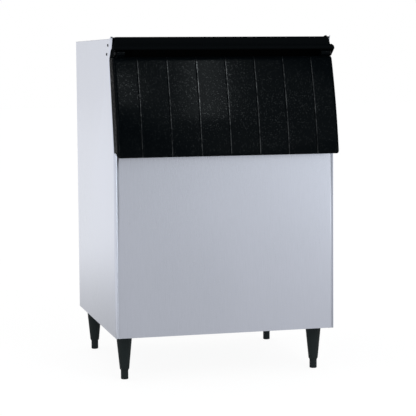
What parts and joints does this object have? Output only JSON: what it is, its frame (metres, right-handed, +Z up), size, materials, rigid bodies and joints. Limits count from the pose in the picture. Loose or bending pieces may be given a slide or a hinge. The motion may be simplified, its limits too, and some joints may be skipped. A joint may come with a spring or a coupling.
{
  "type": "ice storage bin",
  "caption": "Free-standing insulated stainless ice storage bin with a sloping black lift-up door, open top for an ice machine, and adjustable legs.",
  "frame": {"origin": "on the floor, under the middle of the bounding box", "axes": "+Z up, the door and front face -Y, +X to the right as seen from the front"},
  "size_m": [0.7664, 0.7902, 1.158],
  "materials": {
    "stainless": "fine vertical brushed grain",
    "zinc_steel": "plain zinc-coated sheet",
    "black_plastic": "fine pebble grain",
    "leg_plastic": "smooth satin",
    "tub_plastic": "smooth moulded",
    "foam": "poured rigid foam",
    "seal_rubber": "matt",
    "bush_plastic": "smooth",
    "black_steel": "satin black paint",
    "dark_steel": "blackened"
  },
  "bodies": {
    "cabinet": {"left_side_panel": "stainless", "right_side_panel": "stainless", "front_panel": "stainless", "rear_panel": "zinc_steel", "base_pan": "zinc_steel", "rear_screw_1": "zinc_steel", "rear_screw_2": "zinc_steel", "rear_screw_3": "zinc_steel", "rear_screw_4": "zinc_steel", "leg_plate_1": "zinc_steel", "leg_plate_2": "zinc_steel", "leg_plate_3": "zinc_steel", "leg_plate_4": "zinc_steel", "leg_nut_1": "zinc_steel", "leg_nut_2": "zinc_steel", "leg_nut_3": "zinc_steel", "leg_nut_4": "zinc_steel", "top_header": "black_plastic", "drain_fitting": "black_plastic", "drain_nut": "black_plastic", "leg_1": "leg_plastic", "leg_2": "leg_plastic", "leg_3": "leg_plastic", "leg_4": "leg_plastic", "liner": "tub_plastic", "access_frame": "tub_plastic", "baffle_guide_left": "tub_plastic", "baffle_guide_right": "tub_plastic", "drain_grate": "tub_plastic", "cabinet_foam": "foam", "front_rail": "black_steel", "hinge_bracket_left": "black_steel", "hinge_bracket_right": "black_steel", "header_screw_1": "dark_steel", "header_screw_2": "dark_steel", "header_screw_3": "dark_steel", "header_screw_4": "dark_steel", "hinge_pin_left": "dark_steel", "hinge_pin_right": "dark_steel", "ear_screw_left_upper": "dark_steel", "ear_screw_left_lower": "dark_steel", "ear_screw_right_upper": "dark_steel", "ear_screw_right_lower": "dark_steel"},
    "door": {"door_skin": "black_plastic", "door_liner": "black_plastic", "door_foam": "foam", "door_gasket": "seal_rubber", "hinge_bush_left": "bush_plastic", "hinge_bush_right": "bush_plastic"},
    "baffle": {"ice_baffle": "tub_plastic"},
    "foot_1_body": {"foot_1": "leg_plastic"},
    "foot_2_body": {"foot_2": "leg_plastic"},
    "foot_3_body": {"foot_3": "leg_plastic"},
    "foot_4_body": {"foot_4": "leg_plastic"}
  },
  "joints": [
    {"name": "door_hinge", "type": "hinge", "parent": "cabinet", "child": "door", "pos_m": [0, -0.31937, 1.10029], "axis": [-1, 0, 0], "range_deg": [0, 100]},
    {"name": "baffle_lift", "type": "slide", "parent": "cabinet", "child": "baffle", "axis": [0, 0, 1], "range_m": [0, 0.2]},
    {"name": "foot_1_screw", "type": "slide", "parent": "cabinet", "child": "foot_1_body", "axis": [0, 0, -1], "range_m": [-0.025, 0.015]},
    {"name": "foot_2_screw", "type": "slide", "parent": "cabinet", "child": "foot_2_body", "axis": [0, 0, -1], "range_m": [-0.025, 0.015]},
    {"name": "foot_3_screw", "type": "slide", "parent": "cabinet", "child": "foot_3_body", "axis": [0, 0, -1], "range_m": [-0.025, 0.015]},
    {"name": "foot_4_screw", "type": "slide", "parent": "cabinet", "child": "foot_4_body", "axis": [0, 0, -1], "range_m": [-0.025, 0.015]}
  ]
}
